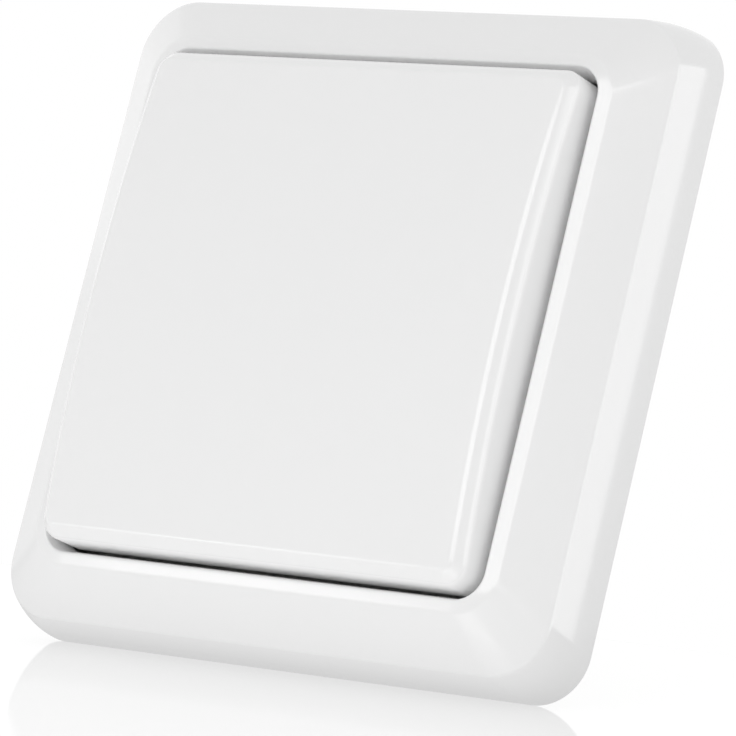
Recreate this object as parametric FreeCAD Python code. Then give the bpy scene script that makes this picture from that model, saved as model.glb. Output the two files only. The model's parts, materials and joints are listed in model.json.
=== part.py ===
import FreeCAD, Part
import math
import os

# Surface mounted wireless remote wall switch: a square frame on a wall plate, with one large
# rocker over a battery powered radio module.
# Everything is modelled lying on its back: x to the right, y up the wall, z out of the wall.
# The finished pieces are then stood up against the wall, with the wall plane at Y = 0.

# How far cutters go over the edge, and how closely faces and edges are looked for
over = 1.0
find_tolerance = 0.01

# Frame
frame_size = 80.0
frame_corner = 6.3
rim_lift = 0.2
rim_wall = 1.8
frame_wall = 1.4
shoulder_inset = 1.2
shoulder_height = 7.75
shoulder_corner = 7.1
shoulder_round = 0.9
bevel_run = 5.8
crest_height = 12.1
crest_width = 1.55
crest_round = 1.6
lip_cut = 0.25
opening_corner = 3.5
lip_wall = 1.4
lip_depth = 3.6
catch_length = 8.0
catch_depth = 0.9
catch_height = 2.0
catch_offset = 18.0

# Rocker
rocker_gap = 1.1
rocker_corner = 2.6
rocker_wall = 1.8
rocker_end_height = 15.0
rocker_crown = 2.1
shoulder_cut = 1.25
rocker_skirt_base = 9.0
rocker_tilt_deg = 1.2
rib_wall = 1.0
rib_height = 0.9
arm_wall = 1.6
arm_half_width = 3.0
arm_gap = 0.6
pin_radius = 1.3
pin_bite = 1.0
bearing_clearance = 0.05
pivot_below_cover = 1.8
presser_half = 1.6
presser_clearance = 0.06

# Wall plate
plate_thickness = 2.0
plate_clearance = 0.5
tab_wall = 1.2
tab_clearance = 0.3
tab_bite = 0.5
barb_height = 1.0
barb_clearance = 0.1
slot_edge = 7.7
slot_width = 4.2
slot_length = 8.0
head_recess_margin = 2.1
head_recess_depth = 0.8
tape_recess_depth = 0.3
tape_recess_width = 46.0
tape_recess_height = 14.0
tape_recess_offset = 21.0
clip_wall = 1.3
clip_width = 7.0
clip_offset = 13.0
clip_clearance = 0.25
clip_bite = 0.7
clip_seat_height = 2.4
guide_height = 2.2
guide_length = 6.0

# Radio module housing
module_margin = 4.55
module_corner = 3.0
module_wall = 1.5
base_floor = 1.0
ledge_width = 1.2
board_stand = 1.4
base_rise_over_board = 0.4
cover_height = 4.8
cover_top = 1.2
battery_window_margin = 0.9
presser_hole_margin = 0.9
lead_in_depth = 0.5
boss_half = 2.6
boss_edge = 4.4
screw_radius = 1.0
screw_clearance = 0.2
screw_head_radius = 1.9
screw_head_height = 0.8
screw_slot_width = 0.5
screw_slot_depth = 0.4
pilot_floor = 0.5
thread_clearance = 0.02

# Circuit board
board_thickness = 1.2
board_clearance = 0.3

# Coin cell and its contacts
cell_radius = 10.0
cell_height = 3.2
cap_radius = 8.8
cap_height = 0.5
pad_size = 12.0
pad_thickness = 0.15
clip_sheet = 0.4
clip_strip_width = 8.0
clip_side_gap = 0.5
clip_foot = 2.2
clip_window_length = 9.0
clip_window_width = 3.6

# Push switches
switch_size = 6.0
switch_body_height = 3.1
switch_edge_margin = 1.2
cavity_radius = 2.35
cavity_floor = 0.8
switch_plate_thickness = 0.3
switch_plate_inset = 0.1
stake_size = 0.8
stake_inset = 0.8
stake_rise = 0.25
stem_radius = 1.7
stem_hole_clearance = 0.15
stem_rise = 1.35
flange_radius = 2.15
flange_height = 0.8
flange_headroom = 0.1
nub_radius = 0.8
dome_radius = 2.2
dome_flat_radius = 0.9
dome_sides = 16
dome_rise = 0.6
dome_sheet = 0.15
dome_clearance = 0.02
leg_sheet = 0.25
switch_leg_width = 0.7
switch_leg_pitch = 4.5
switch_leg_reach = 0.6
switch_leg_foot = 1.0
switch_leg_rise = 0.8

# Encoder chip, transistor, resonator, small parts and antenna
chip_length = 8.65
chip_width = 3.9
chip_height = 1.4
chip_stand = 0.1
chip_edge_margin = 3.3
chip_side_margin = 2.9
chip_draft = 0.12
chip_legs_per_side = 7
chip_leg_pitch = 1.27
chip_leg_width = 0.42
chip_leg_reach = 0.35
chip_leg_foot = 0.7
transistor_length = 2.9
transistor_width = 1.3
transistor_height = 1.0
transistor_side_margin = 9.2
transistor_edge_margin = 6.0
transistor_leg_pitch = 1.9
transistor_leg_foot = 0.4
transistor_leg_reach = 0.15
resonator_radius = 4.1
resonator_flange_radius = 4.65
resonator_height = 3.2
resonator_flange_height = 0.7
resonator_margin = 2.6
small_part_length = 1.6
small_part_width = 0.8
resistor_height = 0.45
capacitor_height = 0.8
small_part_count = 4
small_part_pitch = 2.3
small_part_inset = 13.4
resistor_edge_margin = 4.9
capacitor_edge_margin = 8.0
antenna_wire_radius = 0.4
antenna_wire_sides = 8
antenna_half_length = 11.0
antenna_rise = 2.9
antenna_bend = 1.4
antenna_edge_margin = 1.8

# Sizes that follow from the ones above
frame_half = frame_size / 2
shoulder_half = frame_half - shoulder_inset
crest_half = shoulder_half - bevel_run
opening_half = crest_half - crest_width
bevel_slope = (crest_height - shoulder_height) / bevel_run
roof_drop = frame_wall * math.hypot(1, bevel_slope)
rebate_half = frame_half - rim_wall
core_half = shoulder_half - frame_wall
lip_half = opening_half + lip_wall
lip_base = crest_height - lip_depth
rocker_half = opening_half - rocker_gap
rocker_inner_half = rocker_half - rocker_wall
rocker_top = rocker_end_height + rocker_crown
crown_radius = (rocker_half ** 2 + rocker_crown ** 2) / (2 * rocker_crown)
module_half = rocker_inner_half - module_margin
module_inner_half = module_half - module_wall
board_half = module_inner_half - board_clearance
base_bottom = plate_thickness
board_bottom = base_bottom + base_floor + board_stand
board_top = board_bottom + board_thickness
base_top = board_top + base_rise_over_board
cover_top_height = base_top + cover_height
cover_ceiling = cover_top_height - cover_top
pivot_height = cover_top_height - pivot_below_cover
boss_place = module_half - boss_edge
press_reach = board_half - switch_size / 2 - switch_edge_margin
plunger_stroke = press_reach * math.radians(rocker_tilt_deg)
switch_body_top = board_top + switch_body_height
switch_plate_top = switch_body_top + switch_plate_thickness
plunger_top = switch_plate_top + stem_rise
plate_half = rebate_half - plate_clearance
catch_face = core_half - catch_depth
tab_face = catch_face - tab_clearance
catch_top = plate_thickness + catch_height
arm_face = module_half + arm_gap

ORIGIN = FreeCAD.Vector(0, 0, 0)
X_AXIS = FreeCAD.Vector(1, 0, 0)
Z_AXIS = FreeCAD.Vector(0, 0, 1)
nodes = {}


def vec(x, y, z):
    return FreeCAD.Vector(x, y, z)


def square_wire(half, radius, z):
    # Closed outline of a square with round corners, always started at the same place
    flat = half - radius
    edges = []
    for turn in range(4):
        start = vec(half, -flat, z)
        end = vec(half, flat, z)
        tip = flat + radius * math.sqrt(0.5)
        line = Part.LineSegment(start, end).toShape()
        arc = Part.Arc(end, vec(tip, tip, z), vec(flat, half, z)).toShape()
        for edge in (line, arc):
            edge.rotate(ORIGIN, Z_AXIS, 90 * turn)
            edges.append(edge)
    return Part.Wire(edges)


def square_prism(half, radius, bottom, top):
    return Part.Face(square_wire(half, radius, bottom)).extrude(vec(0, 0, top - bottom))


def square_loft(sections):
    return Part.makeLoft([square_wire(*section) for section in sections], True, True)


def cylinder(radius, bottom, top, x=0.0, y=0.0):
    return Part.makeCylinder(radius, top - bottom, vec(x, y, bottom))


def ring_points(sides, radius, x, y, z):
    # Corners of a regular outline
    angles = [2 * math.pi * (index + 0.5) / sides for index in range(sides)]
    return [vec(x + radius * math.cos(angle), y + radius * math.sin(angle), z) for angle in angles]


def many_sided_prism(sides, radius, bottom, top):
    return extruded_outline(ring_points(sides, radius, 0, 0, bottom), vec(0, 0, top - bottom))


def block(x0, x1, y0, y1, z0, z1):
    return Part.makeBox(x1 - x0, y1 - y0, z1 - z0, vec(x0, y0, z0))


def square_post(half, y, bottom, top):
    # Square post on the middle line, up or down the wall
    return block(-half, half, y - half, y + half, bottom, top)


def extruded_outline(points, direction):
    # Flat face from corner points, extruded along a direction
    return Part.Face(Part.makePolygon(points + points[:1])).extrude(direction)


def revolved(points):
    # Profile of (radius, z) points turned about the z axis
    corners = [vec(radius, 0, z) for radius, z in points]
    return Part.Face(Part.makePolygon(corners + corners[:1])).revolve(ORIGIN, Z_AXIS, 360)


def slot_prism(length, width, bottom, top, x=0.0, y=0.0):
    # Slot with round ends, lying along x
    radius = width / 2
    reach = length / 2 - radius
    middle = block(x - reach, x + reach, y - radius, y + radius, bottom, top)
    ends = [cylinder(radius, bottom, top, x + side * reach, y) for side in (-1, 1)]
    return middle.fuse(ends).removeSplitter()


def four_sides(solid):
    # Copies of one solid on all four sides of the square
    copies = []
    for turn in range(4):
        copy = solid.copy()
        copy.rotate(ORIGIN, Z_AXIS, 90 * turn)
        copies.append(copy)
    return copies


def level_edges(shape, height, tolerance=find_tolerance):
    # Edges that lie flat at one height
    found = []
    for edge in shape.Edges:
        box = edge.BoundBox
        if abs(box.ZMin - height) < tolerance and abs(box.ZMax - height) < tolerance:
            found.append(edge)
    return found


def reach(shape):
    # Farthest a shape gets from the middle, across or up
    box = shape.BoundBox
    return max(abs(box.XMin), abs(box.XMax), abs(box.YMin), abs(box.YMax))


def gull_leg(start, reach, drop, foot, sheet, width):
    # Bent sheet lead along +x: out of the body, down, and a foot on the board at z = 0
    knee = start + reach
    points = [
        vec(start, 0, drop),
        vec(knee, 0, drop),
        vec(knee, 0, sheet),
        vec(knee + foot, 0, sheet),
        vec(knee + foot, 0, 0),
        vec(knee - sheet, 0, 0),
        vec(knee - sheet, 0, drop - sheet),
        vec(start, 0, drop - sheet),
    ]
    leg = extruded_outline(points, vec(0, width, 0))
    leg.translate(vec(0, -width / 2, 0))
    return leg


def moved(shape, x, y, z, turn=0.0):
    copy = shape.copy()
    copy.rotate(ORIGIN, Z_AXIS, turn)
    copy.translate(vec(x, y, z))
    return copy


# Frame outer form: a drafted wall and a wide bevel, each with its own corner radii, and a rounded crest
crest_corner = opening_corner + crest_width
frame_form = square_loft(
    [
        (frame_half, frame_corner, rim_lift),
        (shoulder_half, shoulder_corner, shoulder_height),
        (crest_half, crest_corner, crest_height),
    ]
)
frame_form = frame_form.makeFillet(shoulder_round, level_edges(frame_form, shoulder_height))
frame_form = frame_form.makeFillet(crest_round, level_edges(frame_form, crest_height))
frame_form = frame_form.cut(square_prism(opening_half, opening_corner, -over, crest_height + over))
crest_edges = level_edges(frame_form, crest_height)
lip_edges = [edge for edge in crest_edges if reach(edge) < opening_half + find_tolerance]
frame_form = frame_form.makeChamfer(lip_cut, lip_edges)

# Frame hollow: a straight core that follows the bevel, a rebate for the wall plate and a hanging lip
core_run = core_half - lip_half
core_rise = core_run * bevel_slope
core_top = shoulder_height + (shoulder_half - lip_half) * bevel_slope - roof_drop
core_corner = opening_corner + lip_wall
core = square_prism(core_half, core_corner, plate_thickness, core_top)
core = core.makeChamfer(core_rise, core_run, level_edges(core, core_top))
rebate = square_prism(rebate_half, frame_corner - rim_wall, rim_lift - over, plate_thickness)
lip_block = square_prism(lip_half, opening_corner + lip_wall, lip_base, crest_height)
frame_solid = frame_form.cut(rebate).cut(core.cut(lip_block))

# Frame catches: short ribs that are trapped between the wall plate and the barbs of its tabs
catch_root = core_half + frame_wall / 2
catch_points = [
    vec(catch_root, 0, plate_thickness),
    vec(catch_face + catch_depth / 2, 0, plate_thickness),
    vec(catch_face, 0, plate_thickness + catch_height / 2),
    vec(catch_face, 0, catch_top),
    vec(catch_root, 0, catch_top),
]
catch = extruded_outline(catch_points, vec(0, catch_length, 0))
catches = []
for side in (-1, 1):
    catches += four_sides(moved(catch, 0, side * catch_offset - catch_length / 2, 0))
nodes["frame"] = frame_solid.fuse(catches).removeSplitter()

# Rocker form: a square cap with a crowned face, cylindrical about a level axis
crown_arc = Part.Arc(
    vec(-rocker_half, -rocker_half, rocker_end_height),
    vec(-rocker_half, 0, rocker_top),
    vec(-rocker_half, rocker_half, rocker_end_height),
).toShape()
crown_feet = Part.makePolygon(
    [
        vec(-rocker_half, rocker_half, rocker_end_height),
        vec(-rocker_half, rocker_half, rocker_skirt_base),
        vec(-rocker_half, -rocker_half, rocker_skirt_base),
        vec(-rocker_half, -rocker_half, rocker_end_height),
    ]
)
crown_face = Part.Face(Part.Wire([crown_arc] + crown_feet.Edges))
crown_block = crown_face.extrude(vec(2 * rocker_half, 0, 0))
rocker_form = crown_block.common(
    square_prism(rocker_half, rocker_corner, rocker_skirt_base - over, rocker_top + over)
)


def face_edges(shape, radius):
    # Edges round the crowned face, found by its radius
    for face in shape.Faces:
        surface = face.Surface
        if isinstance(surface, Part.Cylinder) and abs(surface.Radius - radius) < find_tolerance:
            return face.OuterWire.Edges
    return []


rocker_form = rocker_form.makeChamfer(shoulder_cut, face_edges(rocker_form, crown_radius))
inner_cap = crown_block.common(
    square_prism(
        rocker_inner_half,
        rocker_corner - rocker_wall / 2,
        rocker_skirt_base - over,
        rocker_top + over,
    )
)
inner_cap.translate(vec(0, 0, -rocker_wall))
rocker_solid = rocker_form.cut(inner_cap)
rocker_solid = rocker_solid.cut(
    square_prism(rocker_inner_half, rocker_corner - rocker_wall / 2, rocker_skirt_base - over,
                 rocker_skirt_base + rocker_wall)
)

# Rocker inside: stiffening ribs, two pressers over the switches and two arms with pivot pins
rib_base = rocker_end_height - rocker_wall - rib_height
rib_roof = rocker_top - rocker_wall / 2
rib_reach = rocker_inner_half + rocker_wall / 2
inside = []
for y in (-press_reach, 0, press_reach):
    inside.append(block(-rib_reach, rib_reach, y - rib_wall / 2, y + rib_wall / 2, rib_base, rib_roof))
for side in (-1, 1):
    presser_base = plunger_top + presser_clearance
    inside.append(square_post(presser_half, side * press_reach, presser_base, rib_roof))
    arm = block(0, arm_wall, -arm_half_width, arm_half_width, pivot_height, rib_roof)
    foot = Part.makeCylinder(arm_half_width, arm_wall, vec(0, 0, pivot_height), X_AXIS)
    pin_length = arm_gap + pin_bite
    pin = Part.makeCylinder(pin_radius, pin_length, vec(-pin_length, 0, pivot_height), X_AXIS)
    arm = arm.fuse([foot, pin]).removeSplitter()
    inside.append(moved(arm, side * arm_face, 0, 0, 0 if side > 0 else 180))
trim = crown_block.copy()
trim.translate(vec(0, 0, -rocker_wall / 2))
trim_arms = square_prism(rocker_half - rocker_wall / 2, rocker_corner, 0, rocker_top)
trim = trim.fuse(square_prism(rocker_half, rocker_corner, 0, rocker_end_height - rocker_wall))
inside = [piece.common(trim).common(trim_arms) for piece in inside]
nodes["rocker"] = rocker_solid.fuse(inside).removeSplitter()

# Wall plate: a flat plate with screw slots, barbed tabs for the frame and clips for the module
plate_corner = frame_corner - rim_wall
wall_plate = square_prism(plate_half, plate_corner, 0, plate_thickness)
tab_points = [
    vec(tab_face, 0, 0),
    vec(tab_face, 0, catch_top + barb_clearance),
    vec(tab_face + tab_clearance + tab_bite, 0, catch_top + barb_clearance),
    vec(tab_face, 0, catch_top + barb_clearance + barb_height),
    vec(tab_face - tab_wall, 0, catch_top + barb_clearance + barb_height),
    vec(tab_face - tab_wall, 0, 0),
]
tab = extruded_outline(tab_points, vec(0, catch_length, 0))
standing = []
for side in (-1, 1):
    standing += four_sides(moved(tab, 0, side * catch_offset - catch_length / 2, 0))
clip_face = module_half + clip_clearance
clip_seat = base_bottom + clip_seat_height
clip_tip = base_top
clip_points = [
    vec(0, clip_face, 0),
    vec(0, clip_face, clip_seat),
    vec(0, clip_face - clip_clearance - clip_bite, clip_seat),
    vec(0, clip_face, clip_tip),
    vec(0, clip_face + clip_wall, clip_tip),
    vec(0, clip_face + clip_wall, 0),
]
clip = extruded_outline(clip_points, vec(clip_width, 0, 0))
guide = block(
    clip_face,
    clip_face + clip_wall,
    -guide_length / 2,
    guide_length / 2,
    0,
    plate_thickness + guide_height,
)
for turn in (0, 180):
    for side in (-1, 1):
        seated = moved(clip, side * clip_offset - clip_width / 2, 0, 0)
        standing.append(moved(seated, 0, 0, 0, turn))
        standing.append(moved(moved(guide, 0, side * clip_offset, 0), 0, 0, 0, turn))
wall_plate = wall_plate.fuse(standing).removeSplitter()
for side in (-1, 1):
    x = side * (plate_half - slot_edge)
    recess_reach = slot_length / 2 + head_recess_margin
    recess_half = slot_width / 2 + head_recess_margin
    recess = block(
        x - recess_reach,
        x + recess_reach,
        -recess_half,
        recess_half,
        plate_thickness - head_recess_depth,
        plate_thickness + over,
    )
    slot = slot_prism(slot_length, slot_width, -over, plate_thickness + over, x)
    wall_plate = wall_plate.cut([slot, recess])
    y = side * tape_recess_offset
    wall_plate = wall_plate.cut(
        block(
            -tape_recess_width / 2,
            tape_recess_width / 2,
            y - tape_recess_height / 2,
            y + tape_recess_height / 2,
            -over,
            tape_recess_depth,
        )
    )
nodes["wall_plate"] = wall_plate

# Module base: a tray with a ledge for the board, two screw bosses and notches for the clips
module_base = square_prism(module_half, module_corner, base_bottom, base_top)
ledge_half = board_half - ledge_width
inner_corner = module_corner - module_wall


def corner_boss(side, bottom, top):
    # Square boss that fills one corner inside the module
    near = side * (boss_place - boss_half)
    low, high = sorted((near, side * module_inner_half))
    boss = block(low, high, low, high, bottom, top)
    return boss.common(square_prism(module_inner_half, inner_corner, bottom, top))


module_base = module_base.cut(square_prism(module_inner_half, inner_corner, board_bottom, base_top + over))
module_base = module_base.cut(square_prism(ledge_half, inner_corner, base_bottom + base_floor, base_top))
notch_depth = clip_bite + clip_clearance
for turn in (0, 180):
    for side in (-1, 1):
        x = side * clip_offset
        notch = block(
            x - clip_width / 2 - clip_clearance,
            x + clip_width / 2 + clip_clearance,
            module_half - notch_depth,
            module_half + over,
            clip_seat - barb_clearance,
            base_top + over,
        )
        module_base = module_base.cut(moved(notch, 0, 0, 0, turn))
for side in (-1, 1):
    place = side * boss_place
    module_base = module_base.fuse(corner_boss(side, base_bottom, board_bottom))
    pilot = cylinder(screw_radius + thread_clearance, base_bottom + pilot_floor, board_top, place, place)
    module_base = module_base.cut(pilot)
nodes["module_base"] = module_base.removeSplitter()

# Module cover: a lid with the battery window, two presser holes and two bearing holes
module_cover = square_prism(module_half, module_corner, base_top, cover_top_height)
module_cover = module_cover.cut(square_prism(module_inner_half, inner_corner, base_top - over, cover_ceiling))
window_radius = cell_radius + battery_window_margin
module_cover = module_cover.cut(cylinder(window_radius, cover_ceiling - over, cover_top_height + over))
for side in (-1, 1):
    presser_hole = square_post(
        presser_half + presser_hole_margin, side * press_reach, cover_ceiling - over, cover_top_height + over
    )
    module_cover = module_cover.cut(presser_hole)
    place = side * boss_place
    module_cover = module_cover.fuse(corner_boss(side, board_top, cover_ceiling))
    hole = cylinder(screw_radius + screw_clearance, board_top - over, cover_top_height + over, place, place)
    module_cover = module_cover.cut(hole)
    bearing = Part.makeCylinder(
        pin_radius + bearing_clearance,
        2 * module_wall,
        vec(module_half + module_wall / 2, 0, pivot_height),
        vec(-1, 0, 0),
    )
    lead_in = block(
        module_half - lead_in_depth,
        module_half + over,
        -pin_radius - bearing_clearance,
        pin_radius + bearing_clearance,
        pivot_height,
        cover_top_height + over,
    )
    for cutter in (bearing, lead_in):
        module_cover = module_cover.cut(moved(cutter, 0, 0, 0, 0 if side > 0 else 180))
nodes["module_cover"] = module_cover.removeSplitter()

# Module screws: two slotted self tapping screws, through the board into the base
screw_top = cover_top_height + screw_head_height
screw_tip = base_bottom + pilot_floor + thread_clearance
screw_profile = [
    (0, screw_tip),
    (screw_radius, screw_tip),
    (screw_radius, cover_top_height),
    (screw_head_radius, cover_top_height),
    (screw_head_radius, screw_top),
    (0, screw_top),
]
screw = revolved(screw_profile)
screw_slot = block(
    -screw_head_radius,
    screw_head_radius,
    -screw_slot_width / 2,
    screw_slot_width / 2,
    screw_top - screw_slot_depth,
    screw_top + over,
)
screw = screw.cut(screw_slot)
screws = [moved(screw, side * boss_place, side * boss_place, 0) for side in (-1, 1)]
nodes["module_screws"] = Part.makeCompound(screws)

# Circuit board, with its two screw holes
board = square_prism(board_half, inner_corner, board_bottom, board_top)
for side in (-1, 1):
    place = side * boss_place
    board = board.cut(
        cylinder(screw_radius + screw_clearance, board_bottom - over, board_top + over, place, place)
    )
nodes["circuit_board"] = board

# Coin cell on its contact pad, held down by a bent sheet clip
cell_bottom = board_top + pad_thickness
cell_top = cell_bottom + cell_height
can_bottom = cell_bottom + cap_height
pad_half = pad_size / 2
nodes["battery_pad"] = block(-pad_half, pad_half, -pad_half, pad_half, board_top, cell_bottom)
cell_profile = [
    (0, cell_bottom),
    (cap_radius, cell_bottom),
    (cap_radius, can_bottom),
    (cell_radius, can_bottom),
    (cell_radius, cell_top),
    (0, cell_top),
]
nodes["coin_cell"] = revolved(cell_profile)
leg_inside = cell_radius + clip_side_gap
leg_outside = leg_inside + clip_sheet
strip_top = cell_top + clip_sheet
foot_end = leg_outside + clip_foot
foot_top = board_top + clip_sheet
strip_half = [
    vec(leg_inside, 0, cell_top),
    vec(leg_inside, 0, board_top),
    vec(foot_end, 0, board_top),
    vec(foot_end, 0, foot_top),
    vec(leg_outside, 0, foot_top),
    vec(leg_outside, 0, strip_top),
]
mirrored = [vec(-point.x, 0, point.z) for point in reversed(strip_half)]
battery_clip = extruded_outline(strip_half + mirrored, vec(0, clip_strip_width, 0))
battery_clip.translate(vec(0, -clip_strip_width / 2, 0))
window = slot_prism(clip_window_length, clip_window_width, cell_top - over, strip_top + over)
nodes["battery_clip"] = battery_clip.cut(window)

# Push switches under the two pressers
switch_half = switch_size / 2
cover_half = switch_half - switch_plate_inset
stake_half = stake_size / 2
stake_place = switch_half - stake_inset
cavity_bottom = board_top + cavity_floor
switch_body = block(-switch_half, switch_half, -switch_half, switch_half, board_top, switch_body_top)
switch_body = switch_body.cut(cylinder(cavity_radius, cavity_bottom, switch_body_top + over))
switch_plate = block(-cover_half, cover_half, -cover_half, cover_half, switch_body_top, switch_plate_top)
switch_plate = switch_plate.cut(
    cylinder(stem_radius + stem_hole_clearance, switch_body_top - over, switch_plate_top + over)
)
for x in (-stake_place, stake_place):
    for y in (-stake_place, stake_place):
        stake_base = switch_body_top - cavity_floor
        stake_top = switch_plate_top + stake_rise
        stake = block(x - stake_half, x + stake_half, y - stake_half, y + stake_half, stake_base, stake_top)
        switch_body = switch_body.fuse(stake)
        switch_plate = switch_plate.cut(stake)
switch_body = switch_body.removeSplitter()

# Snap dome: a shallow sprung cone with a flat middle, standing on the floor of the switch
dome_top = cavity_bottom + dome_rise + dome_sheet
dome_shell = many_sided_prism(dome_sides, dome_radius, cavity_bottom - dome_sheet, dome_top)
dome_rim = level_edges(dome_shell, dome_top)
dome_shell = dome_shell.makeChamfer(dome_rise, dome_radius - dome_flat_radius, dome_rim)
dome_hollow = moved(dome_shell, 0, 0, -dome_sheet)
dome_floor = cylinder(cavity_radius, cavity_bottom - over, cavity_bottom)
switch_dome = dome_shell.cut(dome_hollow).cut(dome_floor)

# Plunger: a flanged stem that stands on the dome and comes up through the plate
flange_top = switch_body_top - plunger_stroke - flange_headroom
flange_bottom = flange_top - flange_height
nub_bottom = dome_top + dome_clearance
plunger_profile = [
    (0, nub_bottom),
    (nub_radius, nub_bottom),
    (nub_radius, flange_bottom),
    (flange_radius, flange_bottom),
    (flange_radius, flange_top),
    (stem_radius, flange_top),
    (stem_radius, plunger_top),
    (0, plunger_top),
]
switch_plunger = revolved(plunger_profile)
switch_leg = gull_leg(
    switch_half, switch_leg_reach, switch_leg_rise, switch_leg_foot, leg_sheet, switch_leg_width
)
switch_legs = []
for turn in (0, 180):
    for side in (-1, 1):
        leg = moved(switch_leg, 0, side * switch_leg_pitch / 2, board_top)
        switch_legs.append(moved(leg, 0, 0, 0, turn))
switch_legs = Part.makeCompound(switch_legs)
for name, side in (("upper", 1), ("lower", -1)):
    y = side * press_reach
    nodes[name + "_switch_body"] = moved(switch_body, 0, y, 0)
    nodes[name + "_switch_plate"] = moved(switch_plate, 0, y, 0)
    nodes[name + "_switch_dome"] = moved(switch_dome, 0, y, 0)
    nodes[name + "_switch_plunger"] = moved(switch_plunger, 0, y, 0)
    nodes[name + "_switch_legs"] = moved(switch_legs, 0, y, 0)

# Encoder chip: a moulded body with drafted sides and two rows of bent leads
chip_x = -(board_half - chip_side_margin - chip_length / 2)
chip_y = board_half - chip_edge_margin - chip_width / 2


def drafted_block(length, width, height, draft):
    # Block that tapers from its parting line to both faces
    halves = []
    for scale in (1, -1):
        outlines = []
        for level, inset in ((0, 0), (scale * height / 2, draft)):
            x = length / 2 - inset
            y = width / 2 - inset
            points = [vec(x, y, level), vec(-x, y, level), vec(-x, -y, level), vec(x, -y, level)]
            outlines.append(Part.makePolygon(points + points[:1]))
        halves.append(Part.makeLoft(outlines, True, True))
    body = halves[0].fuse(halves[1]).removeSplitter()
    body.translate(vec(0, 0, height / 2))
    return body


chip_body = drafted_block(chip_length, chip_width, chip_height, chip_draft)
nodes["encoder_chip"] = moved(chip_body, chip_x, chip_y, board_top + chip_stand)
chip_lead_rise = chip_stand + chip_height / 2 + leg_sheet / 2
chip_lead = gull_leg(
    chip_width / 2, chip_leg_reach, chip_lead_rise, chip_leg_foot, leg_sheet, chip_leg_width
)
chip_lead = chip_lead.cut(moved(chip_body, 0, 0, chip_stand, 90))
chip_leads = []
for index in range(chip_legs_per_side):
    shift = (index - (chip_legs_per_side - 1) / 2) * chip_leg_pitch
    for turn in (90, 270):
        chip_leads.append(moved(chip_lead, chip_x + shift, chip_y, board_top, turn))
nodes["encoder_chip_legs"] = Part.makeCompound(chip_leads)

# Radio transistor with three leads
transistor_x = board_half - transistor_side_margin - transistor_length / 2
transistor_y = board_half - transistor_edge_margin - transistor_width / 2
transistor_body = drafted_block(transistor_length, transistor_width, transistor_height, chip_draft)
nodes["rf_transistor"] = moved(transistor_body, transistor_x, transistor_y, board_top + chip_stand)
transistor_rise = chip_stand + transistor_height / 2 + leg_sheet / 2
transistor_lead = gull_leg(
    transistor_width / 2,
    transistor_leg_reach + leg_sheet,
    transistor_rise,
    transistor_leg_foot,
    leg_sheet,
    chip_leg_width,
)
transistor_lead = transistor_lead.cut(moved(transistor_body, 0, 0, chip_stand, 90))
transistor_leads = [moved(transistor_lead, transistor_x, transistor_y, board_top, 90)]
for side in (-1, 1):
    x = transistor_x + side * transistor_leg_pitch / 2
    transistor_leads.append(moved(transistor_lead, x, transistor_y, board_top, 270))
nodes["rf_transistor_legs"] = Part.makeCompound(transistor_leads)

# Resonator in a round metal can
resonator_place = board_half - resonator_margin - resonator_flange_radius
can_top = board_top + resonator_height
resonator_profile = [
    (0, board_top),
    (resonator_flange_radius, board_top),
    (resonator_flange_radius, board_top + resonator_flange_height),
    (resonator_radius, board_top + resonator_flange_height),
    (resonator_radius, can_top),
    (0, can_top),
]
resonator = revolved(resonator_profile)
nodes["saw_resonator"] = moved(resonator, resonator_place, -resonator_place, 0)

# Chip resistors and capacitors in two rows
for name, height, margin in (
    ("chip_resistors", resistor_height, resistor_edge_margin),
    ("chip_capacitors", capacitor_height, capacitor_edge_margin),
):
    row = []
    for index in range(small_part_count):
        x = -(board_half - small_part_inset) - index * small_part_pitch
        y = -(board_half - margin)
        part = block(
            x - small_part_width / 2,
            x + small_part_width / 2,
            y - small_part_length / 2,
            y + small_part_length / 2,
            board_top,
            board_top + height,
        )
        row.append(part)
    nodes[name] = Part.makeCompound(row)

# Antenna: a wire bent into a loop that stands on the board
antenna_x = board_half - antenna_edge_margin
wire_top = board_top + antenna_rise
half_loop = antenna_half_length
loop_points = [
    vec(antenna_x, -half_loop, board_top),
    vec(antenna_x, -half_loop, wire_top - antenna_bend),
    vec(antenna_x, -half_loop + antenna_bend, wire_top),
    vec(antenna_x, half_loop - antenna_bend, wire_top),
    vec(antenna_x, half_loop, wire_top - antenna_bend),
    vec(antenna_x, half_loop, board_top),
]
loop = Part.makePolygon(loop_points)
outline = ring_points(antenna_wire_sides, antenna_wire_radius, antenna_x, -half_loop, board_top)
section = Part.makePolygon(outline + outline[:1])
nodes["antenna_wire"] = loop.makePipeShell([section], True, True, 1)

# Stand every piece up against the wall and write it
os.makedirs("parts", exist_ok=True)
for name, shape in nodes.items():
    shape.rotate(ORIGIN, X_AXIS, 90)
    shape.exportStep("parts/" + name + ".step")
    print(name, len(shape.Solids), "valid" if shape.isValid() else "INVALID", round(shape.Volume, 3))
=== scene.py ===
import json
import math

import bmesh
import bpy
from mathutils import Matrix, Vector

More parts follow.
